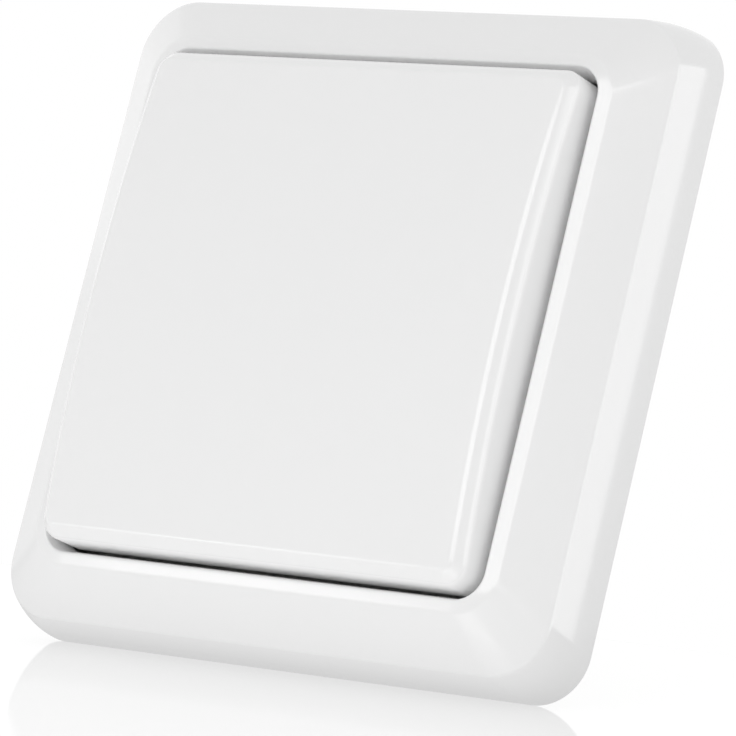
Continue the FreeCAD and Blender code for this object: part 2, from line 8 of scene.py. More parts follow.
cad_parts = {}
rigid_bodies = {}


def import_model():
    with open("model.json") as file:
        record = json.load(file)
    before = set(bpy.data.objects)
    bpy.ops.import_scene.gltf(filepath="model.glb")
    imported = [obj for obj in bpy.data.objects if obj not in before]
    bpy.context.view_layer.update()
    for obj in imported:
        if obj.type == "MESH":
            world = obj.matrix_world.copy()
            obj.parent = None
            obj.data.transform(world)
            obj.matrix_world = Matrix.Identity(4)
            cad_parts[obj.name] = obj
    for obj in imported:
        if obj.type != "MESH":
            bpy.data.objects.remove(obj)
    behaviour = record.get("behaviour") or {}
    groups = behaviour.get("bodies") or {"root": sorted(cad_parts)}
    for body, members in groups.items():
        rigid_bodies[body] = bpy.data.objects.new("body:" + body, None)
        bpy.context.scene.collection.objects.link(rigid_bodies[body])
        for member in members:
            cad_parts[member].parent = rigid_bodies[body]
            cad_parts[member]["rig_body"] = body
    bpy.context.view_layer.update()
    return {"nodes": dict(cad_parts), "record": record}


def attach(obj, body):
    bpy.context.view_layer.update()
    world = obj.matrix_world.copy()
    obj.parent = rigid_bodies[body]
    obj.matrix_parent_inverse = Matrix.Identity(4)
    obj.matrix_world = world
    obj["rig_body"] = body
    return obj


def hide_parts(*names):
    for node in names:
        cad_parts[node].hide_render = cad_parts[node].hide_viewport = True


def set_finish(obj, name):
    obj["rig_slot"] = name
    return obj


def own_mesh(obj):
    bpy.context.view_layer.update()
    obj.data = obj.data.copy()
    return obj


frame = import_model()

# Wireless wall switch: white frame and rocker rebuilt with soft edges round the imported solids.
# X runs to the right, Z up the wall, and the rocker faces -Y, with the wall plane at Y = 0.
# "out" below is how far something stands out of the wall, so Y = -out.

MM = 0.001
CORNER_STEPS = 16
EDGE_STEPS = 7
SAME_PLACE = 0.001 * MM

# Frame, with the solid's sizes apart from the bulge, the crest's slope and roundings and the lip's lean
FRAME_HALF = 40.0 * MM
FRAME_CORNER = 6.3 * MM
RIM_LIFT = 0.2 * MM
RIM_WALL = 1.8 * MM
RIM_ROUND = 0.2 * MM
WALL_BULGE = 0.3 * MM
WALL_STEPS = 10
SHOULDER_HALF = 38.8 * MM
SHOULDER_OUT = 7.75 * MM
SHOULDER_CORNER = 7.1 * MM
SHOULDER_ROUND = 0.8 * MM
CREST_HALF = 33.0 * MM
CREST_OUT = 11.7 * MM
CREST_CORNER = 5.05 * MM
CREST_ROUND = 1.6 * MM
OPENING_HALF = 31.45 * MM
OPENING_CORNER = 3.5 * MM
LIP_OUT = 12.1 * MM
LIP_ROUND = 0.28 * MM
LIP_WALL = 1.4 * MM
LIP_BASE = 8.5 * MM
LIP_LEAN = 0.85 * MM
CORE_HALF = 37.4 * MM
CORE_CORNER = 4.9 * MM
CORE_ROOF = 10.35 * MM
CORE_EAVES = 7.05 * MM
PLATE_THICKNESS = 2.0 * MM
CATCH_LENGTH = 8.0 * MM
CATCH_DEPTH = 0.9 * MM
CATCH_HEIGHT = 2.0 * MM
CATCH_OFFSET = 18.0 * MM

# Rocker, with its crown a hair under the solid's, whose facets make its box that much smaller
ROCKER_HALF = 30.35 * MM
ROCKER_CORNER = 2.6 * MM
ROCKER_WALL = 1.8 * MM
ROCKER_END = 15.0 * MM
ROCKER_CROWN = 2.09 * MM
ROCKER_SKIRT = 9.0 * MM
ROCKER_CUT = 1.25 * MM
CUT_UPPER_ROUND = 1.0 * MM
CUT_LOWER_ROUND = 1.5 * MM
ROCKER_ROWS = 28
CROWN_RADIUS = (ROCKER_HALF ** 2 + ROCKER_CROWN ** 2) / (2 * ROCKER_CROWN)

# Inside of the rocker: ribs, pressers over the two push switches and arms with pivot pins
RIB_WALL = 1.0 * MM
RIB_OUT = 12.3 * MM
PRESS_REACH = 18.0 * MM
PRESSER_HALF = 1.6 * MM
PRESSER_OUT = 10.41 * MM
PIVOT_OUT = 9.0 * MM
ARM_FACE = 24.6 * MM
ARM_WALL = 1.6 * MM
ARM_HALF = 3.0 * MM
PIN_RADIUS = 1.3 * MM
PIN_TIP = 23.0 * MM
PIN_SIDES = 40
FOOT_STEPS = 12
FOOT_SHARE = 0.995

# Gap round the rocker: how far from the opening's and the rocker's edge its dull walls begin, and are full
DULL_START = 0.2 * MM
DULL_FULL = 0.05 * MM
DULLNESS = 0.55

# Antenna wire
BOARD_OUT = 5.6 * MM
ANTENNA_ACROSS = 20.4 * MM
ANTENNA_HALF = 11.0 * MM
ANTENNA_OUT = 8.5 * MM
ANTENNA_BEND = 1.4 * MM
WIRE_RADIUS = 0.37 * MM
WIRE_SIDES = 16
WIRE_BEND_STEPS = 8

# Camera, from the fit of the frame's edges to the photograph
CAMERA_TURN = 36.744
CAMERA_LIFT = -11.750
CAMERA_ROLL = 13.613
CAMERA_DISTANCE = 582.17 * MM
CAMERA_LENS = 242.9
CAMERA_SENSOR = 36
CAMERA_NEAR = 0.01
CAMERA_SHIFT = (-0.0058, -0.0327)

# Floor: slope in degrees, extent, and the sheet in view. A reach is two places along Y, far from the rim
# and near it, and the pair after it holds the values at those places.
WHITE = (1, 1, 1, 1)
FLOOR_SLOPE = 20.0
FLOOR_SIZE = 1.2
FLOOR_BEHIND = 0.05
FLOOR_RISE = 0.14 * MM
FLOOR_MATT = (0.5, 0.5, 0.5, 1)
FLOOR_GLOW = 0.6
MIRROR_ROUGHNESS = 0.06
MIRROR_REACH = (-30 * MM, 0.0)
MIRROR_SHARE = (0.44, 0.49)

# Light from the floor on the object: a painted glow that stands in for bounced light, dimmer near the rim as
# painted shade, and a glossy sheen further out
PAINTED_BOUNCE_REACH = (-15 * MM, -2 * MM)
PAINTED_BOUNCE_GLOW = (0.95, 0.70)
SHEEN_ROUGHNESS = 0.12
SHEEN_REACH = (-30 * MM, -10 * MM)
SHEEN_SHARE = (0.5, 0.0)

# Lamps: turn to the right, lift, width and height in degrees as seen from the object, and glow
LAMP_DISTANCE = 0.9
LAMPS = {
    "front_panel": (1, 12, 58, 34, 2.6),
    "side_panel": (92, 17, 66, 44, 2.0),
    "left_panel": (-110, 26, 36, 28, 0.2),
    "low_panel": (-38, -22, 8, 22, 3.2),
}
ROOM_LIGHT = 0.871


# Modelling helpers

def deselect():
    bpy.ops.object.select_all(action="DESELECT")


def take(piece):
    """Makes one piece the only selected one"""
    deselect()
    piece.select_set(True)
    bpy.context.view_layer.objects.active = piece


def open_mesh(piece):
    take(piece)
    bpy.ops.object.mode_set(mode="EDIT")
    bpy.ops.mesh.select_mode(type="VERT")


def close_mesh():
    bpy.ops.object.mode_set(mode="OBJECT")


def pick(piece, test):
    """Selects the vertices of the open piece whose place passes the test"""
    bpy.ops.mesh.select_all(action="DESELECT")
    mesh = bmesh.from_edit_mesh(piece.data)
    for vert in mesh.verts:
        vert.select = test(vert.co)
    mesh.select_flush_mode()
    bmesh.update_edit_mesh(piece.data)


def apply_all(piece):
    take(piece)
    bpy.ops.object.transform_apply(location=True, rotation=True, scale=True)


def join(pieces, name):
    take(pieces[0])
    for piece in pieces:
        piece.select_set(True)
    bpy.ops.object.join()
    pieces[0].name = name
    pieces[0].data.name = name
    return pieces[0]


def soften(piece, angle=35):
    take(piece)
    bpy.ops.object.shade_smooth_by_angle(angle=math.radians(angle))


def face_outwards(piece):
    open_mesh(piece)
    bpy.ops.mesh.select_all(action="SELECT")
    bpy.ops.mesh.remove_doubles(threshold=SAME_PLACE)
    bpy.ops.mesh.normals_make_consistent(inside=False)
    close_mesh()


def outline(half, out, corner):
    """Round-cornered square of loose edges, parallel to the wall"""
    deselect()
    bpy.ops.mesh.primitive_plane_add(size=2 * half, location=(0, -out, 0), rotation=(math.pi / 2, 0, 0))
    ring = bpy.context.object
    apply_all(ring)
    open_mesh(ring)
    bpy.ops.mesh.select_all(action="SELECT")
    bpy.ops.mesh.bevel(
        offset=corner, offset_type="OFFSET", segments=CORNER_STEPS, profile=0.5, affect="VERTICES"
    )
    bpy.ops.mesh.delete(type="ONLY_FACE")
    close_mesh()
    return ring


def on_outline(place, stop, near=2 * SAME_PLACE):
    """Whether a place lies on one of the outlines"""
    half, out, corner = stop
    across, up = abs(place.x), abs(place.z)
    flat = half - corner
    if abs(place.y + out) > near:
        return False
    if across > flat and up > flat:
        return abs(math.hypot(across - flat, up - flat) - corner) < near
    return abs(max(across, up) - half) < near


def move_outline(piece, before, after):
    """Moves the selected outline from one stop of a path to the next"""
    flat, new_flat = before[0] - before[2], after[0] - after[2]
    stretch = after[2] / before[2]
    mesh = bmesh.from_edit_mesh(piece.data)
    for vert in mesh.verts:
        if vert.select:
            vert.co.x = math.copysign(new_flat + (abs(vert.co.x) - flat) * stretch, vert.co.x)
            vert.co.y = -after[1]
            vert.co.z = math.copysign(new_flat + (abs(vert.co.z) - flat) * stretch, vert.co.z)
    bmesh.update_edit_mesh(piece.data)


def lofted(name, path, closed=False):
    """Skin drawn through a row of outlines (half, out, corner), by extruding the first one along them"""
    piece = outline(*path[0])
    piece.name = name
    piece.data.name = name
    stops = path + path[:1] if closed else path
    open_mesh(piece)
    bpy.ops.mesh.select_all(action="SELECT")
    for before, after in zip(stops, stops[1:]):
        bpy.ops.mesh.extrude_edges_indiv()
        move_outline(piece, before, after)
    close_mesh()
    return piece


def blend(low, high, share):
    return tuple(a + (b - a) * share for a, b in zip(low, high))


def rounded_path(stops):
    """Row of outlines along a profile (half, out, corner, rounding), with every corner of it rounded"""
    path = [stops[0][:3]]
    for before, here, after in zip(stops, stops[1:], stops[2:]):
        rounding = here[3]
        if not rounding:
            path.append(here[:3])
            continue
        point = Vector(here[:2])
        towards = (Vector(before[:2]) - point).normalized()
        away = (Vector(after[:2]) - point).normalized()
        turn = math.pi - towards.angle(away)
        reach = rounding * math.tan(turn / 2)
        start = blend(here[:3], before[:3], reach / (Vector(before[:2]) - point).length)
        end = blend(here[:3], after[:3], reach / (Vector(after[:2]) - point).length)
        middle = point + (towards + away).normalized() * rounding / math.cos(turn / 2)
        first = Vector(start[:2]) - middle
        last = Vector(end[:2]) - middle
        for step in range(EDGE_STEPS + 1):
            share = step / EDGE_STEPS
            spoke = (first * math.sin((1 - share) * turn) + last * math.sin(share * turn)) / math.sin(turn)
            corner = start[2] + (end[2] - start[2]) * share
            path.append((middle.x + spoke.x, middle.y + spoke.y, corner))
    path.append(stops[-1][:3])
    return path


def block(name, across, out, up):
    """Block between two places across the switch, two distances out of the wall and two heights"""
    low = Vector((across[0], -out[1], up[0]))
    high = Vector((across[1], -out[0], up[1]))
    deselect()
    bpy.ops.mesh.primitive_cube_add(size=1, location=(low + high) / 2, scale=high - low)
    piece = bpy.context.object
    piece.name = name
    piece.data.name = name
    apply_all(piece)
    return piece


def turned_copy(piece, turn):
    """Copy with a mesh of its own, turned about the axis square to the wall"""
    copy = piece.copy()
    copy.data = piece.data.copy()
    bpy.context.collection.objects.link(copy)
    copy.rotation_euler.y = turn
    apply_all(copy)
    return copy


def ease_edges(piece, width, steps=2, angle=32):
    """Breaks the hard edges with a small round"""
    bevel = piece.modifiers.new("eased_edges", "BEVEL")
    bevel.width = width
    bevel.segments = steps
    bevel.limit_method = "ANGLE"
    bevel.angle_limit = math.radians(angle)
    take(piece)
    bpy.ops.object.modifier_apply(modifier=bevel.name)


def softened(node, width, steps=2, angle=32):
    """Merged copy of one solid of the frame, with eased edges, in the solid's place"""
    solid = frame["nodes"][node]
    name = node + "_soft"
    piece = bpy.data.objects.new(name, solid.data.copy())
    piece.data.name = name
    bpy.context.collection.objects.link(piece)
    take(piece)
    bpy.ops.mesh.customdata_custom_splitnormals_clear()
    open_mesh(piece)
    bpy.ops.mesh.select_all(action="SELECT")
    bpy.ops.mesh.remove_doubles(threshold=2 * SAME_PLACE)
    bpy.ops.mesh.dissolve_limited(angle_limit=math.radians(1))
    close_mesh()
    ease_edges(piece, width, steps, angle)
    soften(piece, 30)
    stand_for(piece, node, solid["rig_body"], solid.material_slots[0].material.name)
    return piece


def stand_for(piece, node, body, slot):
    """Puts a finished piece in the place of a solid"""
    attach(piece, body)
    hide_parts(node)
    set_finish(piece, slot)


# Frame

def wall_stop(share):
    """Outline of the side wall, which bulges a little between rim and shoulder"""
    half = FRAME_HALF + (SHOULDER_HALF - FRAME_HALF) * share + 4 * WALL_BULGE * share * (1 - share)
    out = RIM_LIFT + (SHOULDER_OUT - RIM_LIFT) * share
    corner = FRAME_CORNER + (SHOULDER_CORNER - FRAME_CORNER) * share
    return (half, out, corner, 0)


def frame_profile():
    """Profile from the rim over wall, shoulder, bevel, crest and lip, and back through the hollow"""
    lip_half = OPENING_HALF + LIP_WALL
    rebate = FRAME_HALF - RIM_WALL
    rebate_corner = FRAME_CORNER - RIM_WALL
    rim = (FRAME_HALF, RIM_LIFT, FRAME_CORNER, RIM_ROUND)
    wall = [wall_stop(step / WALL_STEPS) for step in range(1, WALL_STEPS)]
    return [
        (FRAME_HALF - RIM_WALL / 2, RIM_LIFT, FRAME_CORNER - RIM_WALL / 2, 0),
        rim,
        *wall,
        (SHOULDER_HALF, SHOULDER_OUT, SHOULDER_CORNER, SHOULDER_ROUND),
        (CREST_HALF, CREST_OUT, CREST_CORNER, CREST_ROUND),
        (OPENING_HALF, LIP_OUT, OPENING_CORNER, LIP_ROUND),
        (OPENING_HALF - LIP_LEAN, LIP_BASE, OPENING_CORNER - LIP_LEAN, 0),
        (lip_half, LIP_BASE, CORE_CORNER, 0),
        (lip_half, CORE_ROOF, CORE_CORNER, 0),
        (CORE_HALF, CORE_EAVES, CORE_CORNER, 0),
        (CORE_HALF, PLATE_THICKNESS, CORE_CORNER, 0),
        (rebate, PLATE_THICKNESS, rebate_corner, 0),
        (rebate, RIM_LIFT, rebate_corner, 0),
    ]


def make_catch():
    """Rib inside the wall that snaps behind a tab of the wall plate, with a sloping lead"""
    face = CORE_HALF - CATCH_DEPTH
    root = CORE_HALF + LIP_WALL / 2
    middle = PLATE_THICKNESS + CATCH_HEIGHT / 2
    ends = (CATCH_OFFSET - CATCH_LENGTH / 2, CATCH_OFFSET + CATCH_LENGTH / 2)
    piece = block("catch", (face, root), (PLATE_THICKNESS, PLATE_THICKNESS + CATCH_HEIGHT), ends)
    open_mesh(piece)
    bpy.ops.mesh.select_all(action="SELECT")
    bpy.ops.mesh.bisect(plane_co=(0, -middle, 0), plane_no=(0, 1, 0))
    pick(piece, lambda place: place.x < face + CATCH_DEPTH / 9 and -place.y < middle - CATCH_HEIGHT / 9)
    bpy.ops.transform.translate(value=(CATCH_DEPTH / 2, 0, 0))
    close_mesh()
    ease_edges(piece, 0.12 * MM)
    return piece


def make_catches():
    """Two catches on each side of the square"""
    first = make_catch()
    second = first.copy()
    second.data = first.data.copy()
    bpy.context.collection.objects.link(second)
    second.location.z = -2 * CATCH_OFFSET
    apply_all(second)
    others = [turned_copy(catch, turn * math.pi / 2) for catch in (first, second) for turn in (1, 2, 3)]
    return [first, second, *others]


def make_frame():
    shell = lofted("frame_shell", rounded_path(frame_profile()), closed=True)
    face_outwards(shell)
    piece = join([shell, *make_catches()], "frame_shell")
    soften(piece)
    stand_for(piece, "frame", "housing", "frame_white")
    return piece


# Rocker

def crown_at(height):
    return math.sqrt(CROWN_RADIUS ** 2 - height ** 2) - CROWN_RADIUS + ROCKER_CROWN


def rocker_stop(half, out, rounding=0):
    return (half, out, ROCKER_CORNER - ROCKER_HALF + half, rounding)


def rocker_profile():
    """Profile from the ceiling inside, round the edge of the skirt and over the cut shoulder to the face"""
    inner = ROCKER_HALF - ROCKER_WALL
    ceiling = ROCKER_END - ROCKER_WALL
    cut_half = ROCKER_HALF - ROCKER_CUT
    cut_out = ROCKER_END - ROCKER_CUT
    return [
        rocker_stop(inner - ROCKER_WALL / 3, ceiling),
        rocker_stop(inner, ceiling - ROCKER_WALL / 3),
        rocker_stop(inner, ROCKER_SKIRT),
        rocker_stop(ROCKER_HALF, ROCKER_SKIRT),
        rocker_stop(ROCKER_HALF, cut_out, CUT_LOWER_ROUND),
        rocker_stop(cut_half, ROCKER_END, CUT_UPPER_ROUND),
        rocker_stop(cut_half - ROCKER_CUT / 2, ROCKER_END),
    ]


def cut_rows(piece, half, corner):
    """Cuts the piece level, so that its face can follow the crown"""
    flat = half - corner
    levels = [flat * (2 * row / ROCKER_ROWS - 1) for row in range(ROCKER_ROWS + 1)]
    for step in range(1, CORNER_STEPS):
        level = flat + corner * math.sin(step / CORNER_STEPS * math.pi / 2)
        levels += [level, -level]
    open_mesh(piece)
    for level in levels:
        bpy.ops.mesh.select_all(action="SELECT")
        bpy.ops.mesh.bisect(plane_co=(0, 0, level), plane_no=(0, 0, 1), threshold=SAME_PLACE)
    close_mesh()


def raise_crown(piece):
    """Lifts face, shoulder and ceiling by the crown, and leaves the skirt's edge where it is"""
    group = piece.vertex_groups.new(name="crown")
    for vert in piece.data.vertices:
        if -vert.co.y > ROCKER_SKIRT + ROCKER_WALL:
            group.add([vert.index], crown_at(vert.co.z) / ROCKER_CROWN, "REPLACE")
    lift = piece.modifiers.new("crown", "DISPLACE")
    lift.direction = "Y"
    lift.mid_level = 0
    lift.strength = -ROCKER_CROWN
    lift.vertex_group = group.name
    take(piece)
    bpy.ops.object.modifier_apply(modifier=lift.name)


def roof_out(height):
    """Middle of the cap's thickness, where the ribs, pressers and arms end"""
    return ROCKER_END - ROCKER_WALL / 2 + crown_at(height)


def make_ribs():
    reach = ROCKER_HALF - ROCKER_WALL / 2
    pieces = []
    for height in (-PRESS_REACH, 0, PRESS_REACH):
        ends = (height - RIB_WALL / 2, height + RIB_WALL / 2)
        rib = block("rib", (-reach, reach), (RIB_OUT, roof_out(height)), ends)
        ease_edges(rib, 0.15 * MM)
        pieces.append(rib)
    return pieces


def make_pressers():
    pieces = []
    for height in (-PRESS_REACH, PRESS_REACH):
        ends = (height - PRESSER_HALF, height + PRESSER_HALF)
        presser = block("presser", (-PRESSER_HALF, PRESSER_HALF), (PRESSER_OUT, roof_out(height)), ends)
        ease_edges(presser, 0.25 * MM, 3)
        pieces.append(presser)
    return pieces


def make_arm():
    """Arm with a round foot and a pivot pin that points to the middle"""
    sides = (ARM_FACE, ARM_FACE + ARM_WALL)
    arm = block("arm", sides, (PIVOT_OUT - ARM_HALF, roof_out(ARM_HALF)), (-ARM_HALF, ARM_HALF))
    open_mesh(arm)
    pick(arm, lambda place: -place.y < PIVOT_OUT)
    bpy.ops.mesh.select_mode(type="EDGE")
    mesh = bmesh.from_edit_mesh(arm.data)
    for edge in mesh.edges:
        edge.select = edge.select and abs(edge.verts[0].co.x - edge.verts[1].co.x) > ARM_WALL / 2
    mesh.select_flush_mode()
    bmesh.update_edit_mesh(arm.data)
    bpy.ops.mesh.bevel(
        offset=ARM_HALF * FOOT_SHARE, offset_type="OFFSET", segments=FOOT_STEPS, affect="EDGES"
    )
    close_mesh()
    ease_edges(arm, 0.15 * MM)
    deselect()
    bpy.ops.mesh.primitive_cylinder_add(
        vertices=PIN_SIDES, radius=PIN_RADIUS, depth=ARM_FACE + ARM_WALL / 2 - PIN_TIP,
        location=((ARM_FACE + ARM_WALL / 2 + PIN_TIP) / 2, -PIVOT_OUT, 0), rotation=(0, math.pi / 2, 0)
    )
    pin = bpy.context.object
    apply_all(pin)
    ease_edges(pin, 0.25 * MM, 3)
    return join([arm, pin], "arm")


def make_cap():
    """Crowned cap of the rocker, closed inside by its ceiling"""
    path = rounded_path(rocker_profile())
    cap = lofted("rocker_cap", path)
    open_mesh(cap)
    for end in (path[0], path[-1]):
        pick(cap, lambda place: on_outline(place, end))
        bpy.ops.mesh.edge_face_add()
    close_mesh()
    face_outwards(cap)
    cut_rows(cap, path[-1][0], path[-1][2])
    raise_crown(cap)
    return cap


def make_rocker():
    arm = make_arm()
    inside = [arm, turned_copy(arm, math.pi), *make_ribs(), *make_pressers()]
    piece = join([make_cap(), *inside], "rocker_cap")
    soften(piece)
    stand_for(piece, "rocker", "rocker", "rocker_white")
    return piece


# Antenna

def make_antenna():
    """Round wire from the board, over two bends, and back into the board"""
    deselect()
    bpy.ops.mesh.primitive_circle_add(
        vertices=WIRE_SIDES, radius=WIRE_RADIUS, fill_type="NGON",
        location=(ANTENNA_ACROSS, -BOARD_OUT, -ANTENNA_HALF), rotation=(math.pi / 2, 0, 0)
    )
    piece = bpy.context.object
    piece.name = "antenna_loop"
    piece.data.name = "antenna_loop"
    apply_all(piece)
    rise = ANTENNA_OUT - BOARD_OUT - ANTENNA_BEND
    bend_out = -BOARD_OUT - rise
    open_mesh(piece)
    bpy.ops.mesh.select_all(action="SELECT")
    run = 2 * (ANTENNA_HALF - ANTENNA_BEND)
    bpy.ops.mesh.extrude_region_move(TRANSFORM_OT_translate={"value": (0, -rise, 0)})
    first_bend = (ANTENNA_ACROSS, bend_out, -ANTENNA_HALF + ANTENNA_BEND)
    bpy.ops.mesh.spin(steps=WIRE_BEND_STEPS, angle=math.pi / 2, center=first_bend, axis=(-1, 0, 0))
    bpy.ops.mesh.extrude_region_move(TRANSFORM_OT_translate={"value": (0, 0, run)})
    second_bend = (ANTENNA_ACROSS, bend_out, ANTENNA_HALF - ANTENNA_BEND)
    bpy.ops.mesh.spin(steps=WIRE_BEND_STEPS, angle=math.pi / 2, center=second_bend, axis=(-1, 0, 0))
    bpy.ops.mesh.extrude_region_move(TRANSFORM_OT_translate={"value": (0, rise, 0)})
    close_mesh()
    face_outwards(piece)
    soften(piece, 50)
    stand_for(piece, "antenna_wire", "housing", "antenna_copper")
    return piece


# Inside pieces, softened from the solids

def make_wall_plate():
    return [softened("wall_plate", 0.2 * MM)]


def make_module_housing():
    return [softened(node, 0.18 * MM) for node in ("module_base", "module_cover")]


def make_metal_pieces():
    screws = softened("module_screws", 0.12 * MM, 3)
    cell = softened("coin_cell", 0.35 * MM, 4)
    clip = softened("battery_clip", 0.09 * MM)
    pad = softened("battery_pad", 0.04 * MM)
    can = softened("saw_resonator", 0.3 * MM, 4)
    return [screws, cell, clip, pad, can]


def make_board_pieces():
    board = softened("circuit_board", 0.06 * MM)
    chips = [softened(node, 0.07 * MM) for node in ("encoder_chip", "rf_transistor")]
    legs = [softened(node, 0.04 * MM) for node in ("encoder_chip_legs", "rf_transistor_legs")]
    small = [softened(node, 0.06 * MM) for node in ("chip_resistors", "chip_capacitors")]
    return [board, *chips, *legs, *small]


def make_dome(side):
    """Snap dome, given a mesh of its own and left in its resting shape, though the real one flattens on to
    the switch's floor under its plunger
    """
    dome = softened(side + "switch_dome", 0.03 * MM)
    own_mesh(dome)
    return dome


def make_switches():
    pieces = []
    for side in ("upper_", "lower_"):
        pieces += [
            softened(side + "switch_body", 0.1 * MM),
            softened(side + "switch_plate", 0.05 * MM),
            make_dome(side),
            softened(side + "switch_plunger", 0.2 * MM, 3),
            softened(side + "switch_legs", 0.04 * MM),
        ]
    return pieces


# Materials

# Places and radii of moulding marks, and the middles and tinned ends of the two rows of small parts
PLATE_MARK = (29 * MM, 0, 29 * MM)
PLATE_MARK_RADIUS = 2.5 * MM
LID_MARK = (18 * MM, 0, 9 * MM)
LID_MARK_RADIUS = 1.8 * MM
CHIP_DIMPLE = (-18.3 * MM, 0, 16.0 * MM)
CHIP_DIMPLE_RADIUS = 0.42 * MM
RESISTOR_ROW = -17.3 * MM
CAPACITOR_ROW = -14.2 * MM
TINNED_FROM = (0.49 * MM, 0.52 * MM)

PLASTIC_IOR = 1.54

# Plain plastics: roughness and its spread, mottle, and the grain's scale and depth
PLASTICS = {
    "switch_black": (0.45, 0.12, 0.3, 3000.0, 0.004 * MM),
    "plunger_black": (0.36, 0.1, 0.3, 2600.0, 0.003 * MM),
}

# Metals: roughness and its spread, tarnish, and the brush lines' scale and depth
METALS = {
    "screw_steel": (0.22, 0.1, 0.35, 1500.0, 0.003 * MM),
    "cell_steel": (0.2, 0.12, 0.2, 2200.0, 0.002 * MM),
    "clip_steel": (0.24, 0.1, 0.25, 1800.0, 0.002 * MM),
    "pad_tin": (0.34, 0.12, 0.3, 900.0, 0.003 * MM),
    "switch_tin": (0.26, 0.1, 0.25, 1800.0, 0.002 * MM),
    "dome_steel": (0.18, 0.1, 0.2, 2600.0, 0.001 * MM),
    "lead_tin": (0.3, 0.12, 0.3, 1400.0, 0.003 * MM),
    "can_nickel": (0.2, 0.1, 0.3, 1600.0, 0.002 * MM),
    "antenna_copper": (0.28, 0.14, 0.4, 1200.0, 0.003 * MM),
}

COLOURS = {entry["slot"]: (*entry["base_color"], 1) for entry in frame["record"]["materials"]}
TIN = COLOURS["lead_tin"]


def new_group(name, inputs, outputs):
    """Shader node group with named sockets, and its two end nodes"""
    tree = bpy.data.node_groups.new(name, "ShaderNodeTree")
    for socket, kind in inputs.items():
        tree.interface.new_socket(socket, in_out="INPUT", socket_type="NodeSocket" + kind)
    for socket, kind in outputs.items():
        tree.interface.new_socket(socket, in_out="OUTPUT", socket_type="NodeSocket" + kind)
    return tree, tree.nodes.new("NodeGroupInput").outputs, tree.nodes.new("NodeGroupOutput").inputs


def set_input(tree, socket, value):
    """Sets a socket to a value, or links another socket to it"""
    if isinstance(value, bpy.types.NodeSocket):
        tree.links.new(value, socket)
    else:
        socket.default_value = value


def place(tree, scale=(1, 1, 1)):
    """Place on the piece, in metres"""
    coordinates = tree.nodes.new("ShaderNodeTexCoord").outputs["Object"]
    if scale == (1, 1, 1):
        return coordinates
    mapping = tree.nodes.new("ShaderNodeMapping")
    mapping.inputs["Scale"].default_value = scale
    tree.links.new(coordinates, mapping.inputs["Vector"])
    return mapping.outputs["Vector"]


def noise(tree, vector, scale, detail=2.0, distortion=0.0):
    node = tree.nodes.new("ShaderNodeTexNoise")
    set_input(tree, node.inputs["Vector"], vector)
    set_input(tree, node.inputs["Scale"], scale)
    node.inputs["Detail"].default_value = detail
    node.inputs["Distortion"].default_value = distortion
    return node.outputs["Fac"]


def maths(tree, operation, first, second=0.0):
    node = tree.nodes.new("ShaderNodeMath")
    node.operation = operation
    set_input(tree, node.inputs[0], first)
    set_input(tree, node.inputs[1], second)
    return node.outputs["Value"]


def ranged(tree, value, low, high, to_low=0.0, to_high=1.0):
    """Value brought from one range to another, and kept inside it"""
    node = tree.nodes.new("ShaderNodeMapRange")
    set_input(tree, node.inputs["Value"], value)
    set_input(tree, node.inputs["From Min"], low)
    set_input(tree, node.inputs["From Max"], high)
    set_input(tree, node.inputs["To Min"], to_low)
    set_input(tree, node.inputs["To Max"], to_high)
    return node.outputs["Result"]


def vector_maths(tree, operation, first, second=(0, 0, 0)):
    node = tree.nodes.new("ShaderNodeVectorMath")
    node.operation = operation
    set_input(tree, node.inputs[0], first)
    set_input(tree, node.inputs[1], second)
    return node.outputs["Value" if operation == "LENGTH" else "Vector"]


def mixed(tree, factor, first, second, blend_type="MIX"):
    node = tree.nodes.new("ShaderNodeMix")
    node.data_type = "RGBA"
    node.blend_type = blend_type
    set_input(tree, node.inputs["Factor"], factor)
    set_input(tree, node.inputs["A"], first)
    set_input(tree, node.inputs["B"], second)
    return node.outputs["Result"]


def make_moulded_skin():
    """Moulded plastic: faint clouds in the colour, uneven gloss and a fine grain"""
    sockets = {
        "Colour": "Color", "Mottle": "Float", "Roughness": "Float", "Spread": "Float", "Grain": "Float"
    }
    tree, given, result = new_group(
        "moulded_skin", sockets, {"Colour": "Color", "Roughness": "Float", "Height": "Float"}
    )
    spot = place(tree)
    cloud = noise(tree, spot, 45.0, 3.0)
    share = maths(tree, "MULTIPLY", cloud, given["Mottle"])
    tree.links.new(mixed(tree, share, given["Colour"], (0.80, 0.80, 0.80, 1), "MULTIPLY"), result["Colour"])
    smear = ranged(tree, noise(tree, spot, 110.0, 4.0, 0.8), 0.3, 0.7, -0.5, 0.5)
    uneven = maths(tree, "MULTIPLY", smear, given["Spread"])
    tree.links.new(maths(tree, "ADD", given["Roughness"], uneven), result["Roughness"])
    tree.links.new(noise(tree, spot, given["Grain"], 3.0), result["Height"])
    return tree


def make_metal_finish():
    """Drawn or plated metal: brush lines, dull spots and handling marks"""
    sockets = {
        "Colour": "Color", "Tarnish": "Float", "Lines": "Float", "Roughness": "Float", "Spread": "Float"
    }
    tree, given, result = new_group(
        "metal_finish", sockets, {"Colour": "Color", "Roughness": "Float", "Height": "Float"}
    )
    lines = noise(tree, place(tree, (1.0, 1.0, 0.04)), given["Lines"], 4.0)
    spots = ranged(tree, noise(tree, place(tree), 520.0, 5.0, 0.4), 0.5, 0.75)
    dull = maths(tree, "MULTIPLY", spots, given["Tarnish"])
    tree.links.new(mixed(tree, dull, given["Colour"], (0.45, 0.42, 0.38, 1), "MULTIPLY"), result["Colour"])
    spread = maths(tree, "MULTIPLY", maths(tree, "ADD", lines, spots), given["Spread"])
    tree.links.new(maths(tree, "ADD", given["Roughness"], spread), result["Roughness"])
    tree.links.new(lines, result["Height"])
    return tree


